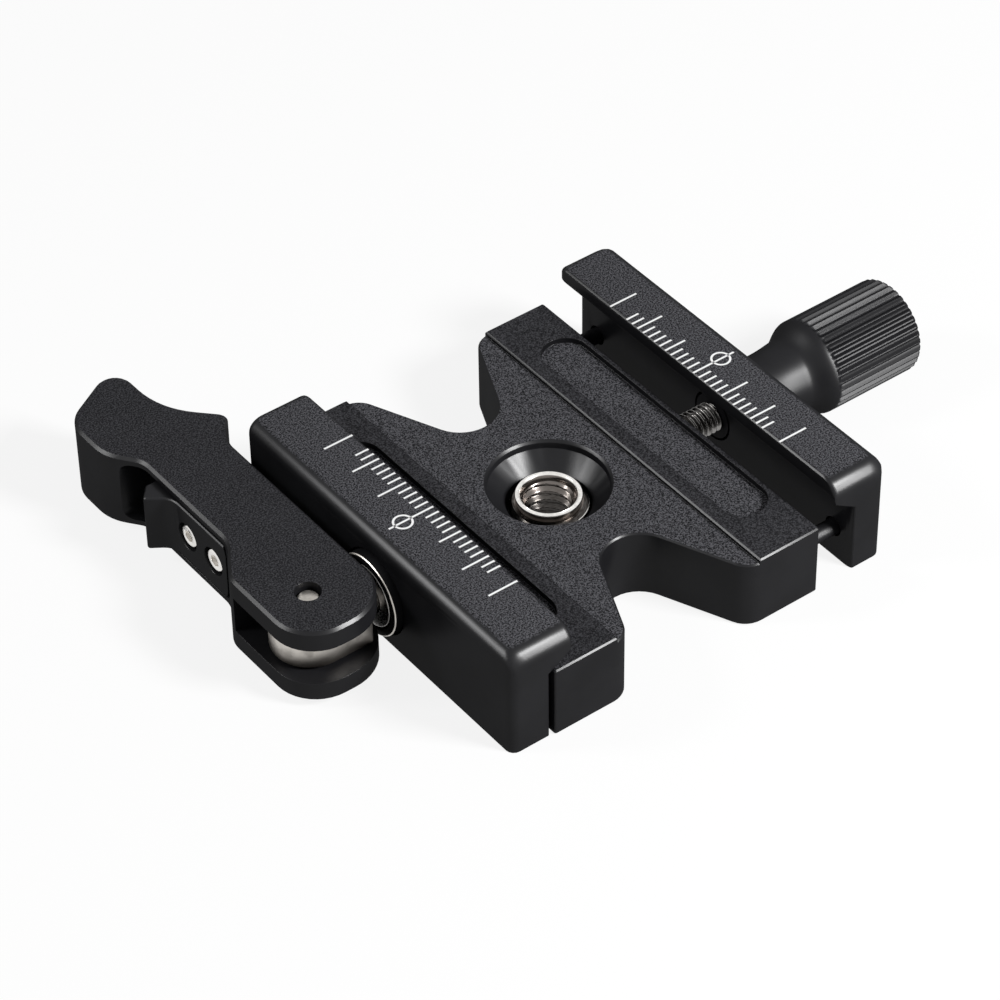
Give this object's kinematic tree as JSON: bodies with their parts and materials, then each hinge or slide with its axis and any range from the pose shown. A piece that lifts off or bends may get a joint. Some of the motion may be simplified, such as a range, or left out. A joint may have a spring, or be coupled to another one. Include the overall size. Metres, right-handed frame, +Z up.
{
  "type": "lever and knob dovetail quick release clamp",
  "caption": "Dovetail quick release clamp for a tripod head: a base with a threaded bushing, one lip jaw worked by a locking cam lever and one set by a screw knob.",
  "frame": {"origin": "middle of the whole object's footprint, at the height of the flat underside", "axes": "+Z up out of the dovetail, +X across the dovetail from the cam lever to the knob, +Y along the dovetail towards the lever's finger end"},
  "size_m": [0.0912, 0.07, 0.0144],
  "materials": {
    "black_anodised": "fine blasted and black anodised",
    "bright_steel": "turned and bright plated",
    "nickel_eye": "satin, bright plated",
    "dark_steel": "plain ground steel"
  },
  "bodies": {
    "base": {"base_body": "black_anodised", "tripod_bushing": "bright_steel", "eye_bolt": "nickel_eye", "lever_pivot_pin": "bright_steel", "return_spring_near": "dark_steel", "return_spring_far": "dark_steel"},
    "lever": {"lever": "black_anodised", "lock_spring": "dark_steel"},
    "lock": {"lock_tab": "black_anodised", "lock_bar": "bright_steel", "lock_screw_front": "bright_steel", "lock_screw_rear": "bright_steel"},
    "lever_jaw": {"lever_jaw": "black_anodised", "lever_guide_pin_near": "dark_steel", "lever_guide_pin_far": "dark_steel", "thrust_cup": "black_anodised", "thrust_ring": "bright_steel"},
    "knob_jaw": {"knob_jaw": "black_anodised", "knob_guide_pin_near": "dark_steel", "knob_guide_pin_far": "dark_steel", "knob_washer": "dark_steel"},
    "knob": {"knob": "black_anodised", "knob_screw": "dark_steel", "knob_clip": "dark_steel"}
  },
  "joints": [
    {"name": "lever_swing", "type": "hinge", "parent": "base", "child": "lever", "pos_m": [-0.03988, -0.00952, 0.0062], "axis": [0, 0, 1], "range_deg": [0, 180]},
    {"name": "lever_jaw_slide", "type": "slide", "parent": "base", "child": "lever_jaw", "axis": [-1, 0, 0], "range_m": [0, 0.0013], "deforming": ["return_spring_near", "return_spring_far"]},
    {"name": "knob_jaw_slide", "type": "slide", "parent": "base", "child": "knob_jaw", "axis": [1, 0, 0], "range_m": [-0.0051, 0.001]},
    {"name": "knob_turn", "type": "hinge", "parent": "knob_jaw", "child": "knob", "pos_m": [0.02293, -0.00952, 0.0062], "axis": [1, 0, 0], "range_deg": [-2624, 516]},
    {"name": "lock_slide", "type": "slide", "parent": "lever", "child": "lock", "axis": [0, 1, 0], "range_m": [0, 0.003], "stiffness_N_per_m": 300, "springref_m": -0.002, "deforming": ["lock_spring"]}
  ],
  "couplings": [
    {"joint": "lever_jaw_slide", "follows": "lever_swing", "m_per_rad": 0.0004},
    {"joint": "knob_turn", "follows": "knob_jaw_slide", "rad_per_m": 8976}
  ]
}
